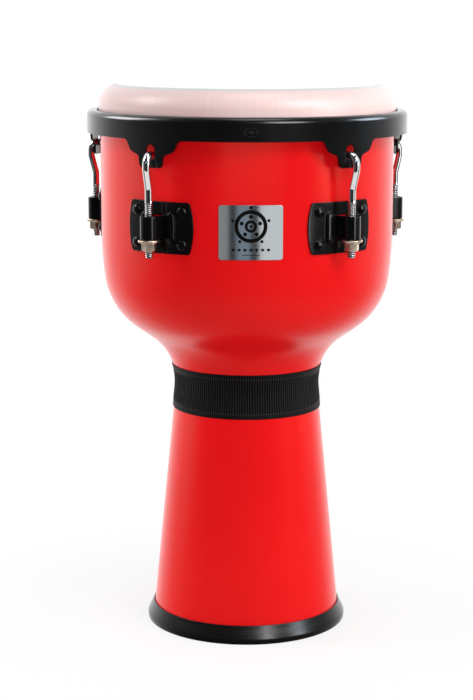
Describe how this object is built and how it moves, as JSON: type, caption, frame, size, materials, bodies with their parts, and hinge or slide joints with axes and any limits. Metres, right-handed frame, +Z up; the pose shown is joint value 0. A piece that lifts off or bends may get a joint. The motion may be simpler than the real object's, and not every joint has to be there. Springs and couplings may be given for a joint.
{
  "type": "djembe",
  "caption": "Goblet-shaped hand drum with a synthetic head, steel counterhoop, hook-and-nut tuning lugs, waist band and rubber foot.",
  "frame": {"origin": "centre of the playing surface, on the drum's axis", "axes": "+Z up out of the head, -Y towards the badge at the front"},
  "size_m": [0.3598, 0.3625, 0.602],
  "materials": {
    "red_gelcoat": "satin red gelcoat",
    "head_film": "smooth milky film",
    "black_powder_coat": "satin black powder coat",
    "plain_steel": "plain sheet steel and aluminium",
    "chrome": "bright chrome plating",
    "yellow_zinc": "satin zinc plating with a warm tint",
    "black_webbing": "ribbed woven webbing",
    "black_rubber": "matt moulded rubber",
    "brushed_aluminium": "brushed plate"
  },
  "bodies": {
    "shell": {"shell": "red_gelcoat", "head_film": "head_film", "badge": "brushed_aluminium", "waist_band": "black_webbing", "foot_ring": "black_rubber", "lug_bracket_1": "black_powder_coat", "backing_plate_1": "plain_steel", "hook_washer_1": "yellow_zinc", "lug_rivet_1a": "black_powder_coat", "lug_rivet_1b": "black_powder_coat", "lug_rivet_1c": "black_powder_coat", "lug_rivet_1d": "black_powder_coat", "lug_bracket_2": "black_powder_coat", "backing_plate_2": "plain_steel", "hook_washer_2": "yellow_zinc", "lug_rivet_2a": "black_powder_coat", "lug_rivet_2b": "black_powder_coat", "lug_rivet_2c": "black_powder_coat", "lug_rivet_2d": "black_powder_coat", "lug_bracket_3": "black_powder_coat", "backing_plate_3": "plain_steel", "hook_washer_3": "yellow_zinc", "lug_rivet_3a": "black_powder_coat", "lug_rivet_3b": "black_powder_coat", "lug_rivet_3c": "black_powder_coat", "lug_rivet_3d": "black_powder_coat", "lug_bracket_4": "black_powder_coat", "backing_plate_4": "plain_steel", "hook_washer_4": "yellow_zinc", "lug_rivet_4a": "black_powder_coat", "lug_rivet_4b": "black_powder_coat", "lug_rivet_4c": "black_powder_coat", "lug_rivet_4d": "black_powder_coat", "lug_bracket_5": "black_powder_coat", "backing_plate_5": "plain_steel", "hook_washer_5": "yellow_zinc", "lug_rivet_5a": "black_powder_coat", "lug_rivet_5b": "black_powder_coat", "lug_rivet_5c": "black_powder_coat", "lug_rivet_5d": "black_powder_coat"},
    "rim": {"counterhoop": "black_powder_coat", "flesh_hoop": "plain_steel"},
    "hook_1": {"tuning_hook_1": "chrome"},
    "hook_2": {"tuning_hook_2": "chrome"},
    "hook_3": {"tuning_hook_3": "chrome"},
    "hook_4": {"tuning_hook_4": "chrome"},
    "hook_5": {"tuning_hook_5": "chrome"},
    "nut_1": {"tuning_nut_1": "yellow_zinc"},
    "nut_2": {"tuning_nut_2": "yellow_zinc"},
    "nut_3": {"tuning_nut_3": "yellow_zinc"},
    "nut_4": {"tuning_nut_4": "yellow_zinc"},
    "nut_5": {"tuning_nut_5": "yellow_zinc"}
  },
  "joints": [
    {"name": "rim_tuning", "type": "slide", "parent": "shell", "child": "rim", "axis": [0, 0, -1], "range_m": [-0.004, 0.008], "deforming": ["head_film"]},
    {"name": "hook_1_pull", "type": "slide", "parent": "shell", "child": "hook_1", "axis": [0, 0, -1], "range_m": [-0.004, 0.008]},
    {"name": "hook_2_pull", "type": "slide", "parent": "shell", "child": "hook_2", "axis": [0, 0, -1], "range_m": [-0.004, 0.008]},
    {"name": "hook_3_pull", "type": "slide", "parent": "shell", "child": "hook_3", "axis": [0, 0, -1], "range_m": [-0.004, 0.008]},
    {"name": "hook_4_pull", "type": "slide", "parent": "shell", "child": "hook_4", "axis": [0, 0, -1], "range_m": [-0.004, 0.008]},
    {"name": "hook_5_pull", "type": "slide", "parent": "shell", "child": "hook_5", "axis": [0, 0, -1], "range_m": [-0.004, 0.008]},
    {"name": "nut_1_spin", "type": "hinge", "parent": "shell", "child": "nut_1", "pos_m": [0.10416, -0.14336, -0.1614], "axis": [0, 0, 1], "range_deg": [-1152, 2304]},
    {"name": "nut_2_spin", "type": "hinge", "parent": "shell", "child": "nut_2", "pos_m": [0.16853, 0.05476, -0.1614], "axis": [0, 0, 1], "range_deg": [-1152, 2304]},
    {"name": "nut_3_spin", "type": "hinge", "parent": "shell", "child": "nut_3", "pos_m": [0, 0.1772, -0.1614], "axis": [0, 0, 1], "range_deg": [-1152, 2304]},
    {"name": "nut_4_spin", "type": "hinge", "parent": "shell", "child": "nut_4", "pos_m": [-0.16853, 0.05476, -0.1614], "axis": [0, 0, 1], "range_deg": [-1152, 2304]},
    {"name": "nut_5_spin", "type": "hinge", "parent": "shell", "child": "nut_5", "pos_m": [-0.10416, -0.14336, -0.1614], "axis": [0, 0, 1], "range_deg": [-1152, 2304]}
  ],
  "couplings": [
    {"joint": "hook_1_pull", "follows": "rim_tuning", "ratio": 1},
    {"joint": "hook_2_pull", "follows": "rim_tuning", "ratio": 1},
    {"joint": "hook_3_pull", "follows": "rim_tuning", "ratio": 1},
    {"joint": "hook_4_pull", "follows": "rim_tuning", "ratio": 1},
    {"joint": "hook_5_pull", "follows": "rim_tuning", "ratio": 1},
    {"joint": "nut_1_spin", "follows": "rim_tuning", "rad_per_m": 5026.5},
    {"joint": "nut_2_spin", "follows": "rim_tuning", "rad_per_m": 5026.5},
    {"joint": "nut_3_spin", "follows": "rim_tuning", "rad_per_m": 5026.5},
    {"joint": "nut_4_spin", "follows": "rim_tuning", "rad_per_m": 5026.5},
    {"joint": "nut_5_spin", "follows": "rim_tuning", "rad_per_m": 5026.5}
  ]
}
